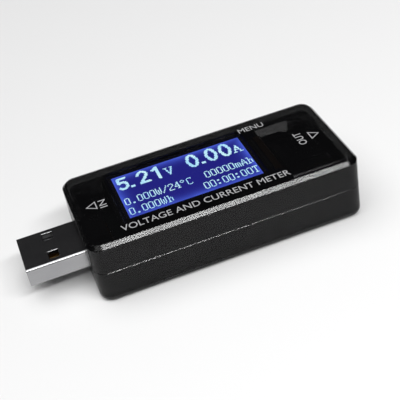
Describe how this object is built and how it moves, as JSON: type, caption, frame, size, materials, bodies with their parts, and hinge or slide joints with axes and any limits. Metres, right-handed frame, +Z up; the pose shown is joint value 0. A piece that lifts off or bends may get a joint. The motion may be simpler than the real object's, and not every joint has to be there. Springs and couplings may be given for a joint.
{
  "type": "usb power meter",
  "caption": "Pass-through power meter: smoked two-shell case with a backlit display on top, a plug on one end, a socket on the other and a small side key.",
  "frame": {"origin": "centre of the case's flat underside", "axes": "+X from the plug end towards the socket end, +Y towards the menu key, +Z up out of the display"},
  "size_m": [0.0734, 0.0285, 0.015],
  "materials": {
    "smoked_case": "high gloss, see-through smoke tint",
    "clear_window": "clear, polished",
    "key_plastic": "glossy black",
    "board_laminate": "dark solder mask",
    "connector_steel": "nickel-plated sheet",
    "connector_plastic": "moulded black",
    "contact_gold": "gold flash",
    "frame_plastic": "black moulded",
    "lamp_body": "white lamp body",
    "ribbon_film": "amber film",
    "switch_plastic": "moulded",
    "plunger_plastic": "moulded red-brown",
    "spring_steel": "thin sheet",
    "tinned_metal": "tinned",
    "sensor_bead": "glazed",
    "ceramic_tan": "ceramic",
    "resistor_black": "glazed black",
    "polarizer_film": "blue film",
    "display_glass": "thin glass",
    "guide_acrylic": "lit blue acrylic",
    "chip_black": "moulded epoxy"
  },
  "bodies": {
    "housing": {"backlight_lamps": "lamp_body", "chip_capacitors": "ceramic_tan", "chip_resistors": "resistor_black", "circuit_board": "board_laminate", "current_shunt": "resistor_black", "display_driver_chip": "chip_black", "display_frame": "frame_plastic", "display_ribbon": "ribbon_film", "display_window": "clear_window", "front_glass": "display_glass", "front_polarizer": "polarizer_film", "light_guide": "guide_acrylic", "lower_case": "smoked_case", "microcontroller": "chip_black", "microcontroller_leads": "tinned_metal", "plug_contacts": "contact_gold", "plug_insulator": "connector_plastic", "plug_shell": "connector_steel", "rear_glass": "display_glass", "rear_polarizer": "polarizer_film", "sense_amplifier": "chip_black", "sense_amplifier_leads": "tinned_metal", "shunt_caps": "tinned_metal", "socket_contacts": "contact_gold", "socket_insulator": "connector_plastic", "socket_shell": "connector_steel", "switch_body": "switch_plastic", "switch_cover": "connector_steel", "switch_dome": "spring_steel", "switch_terminals": "tinned_metal", "temperature_sensor": "sensor_bead", "upper_case": "smoked_case", "voltage_regulator": "chip_black", "voltage_regulator_leads": "tinned_metal"},
    "key": {"menu_key": "key_plastic"},
    "plunger": {"switch_plunger": "plunger_plastic"}
  },
  "joints": [
    {"name": "key_press", "type": "slide", "parent": "housing", "child": "key", "axis": [0, -1, 0], "range_m": [0, 0.0003], "stiffness_N_per_m": 4000, "springref_m": -0.0001},
    {"name": "plunger_press", "type": "slide", "parent": "housing", "child": "plunger", "axis": [0, -1, 0], "range_m": [0, 0.0003], "deforming": ["switch_dome"]}
  ],
  "couplings": [
    {"joint": "plunger_press", "follows": "key_press", "ratio": 1}
  ]
}
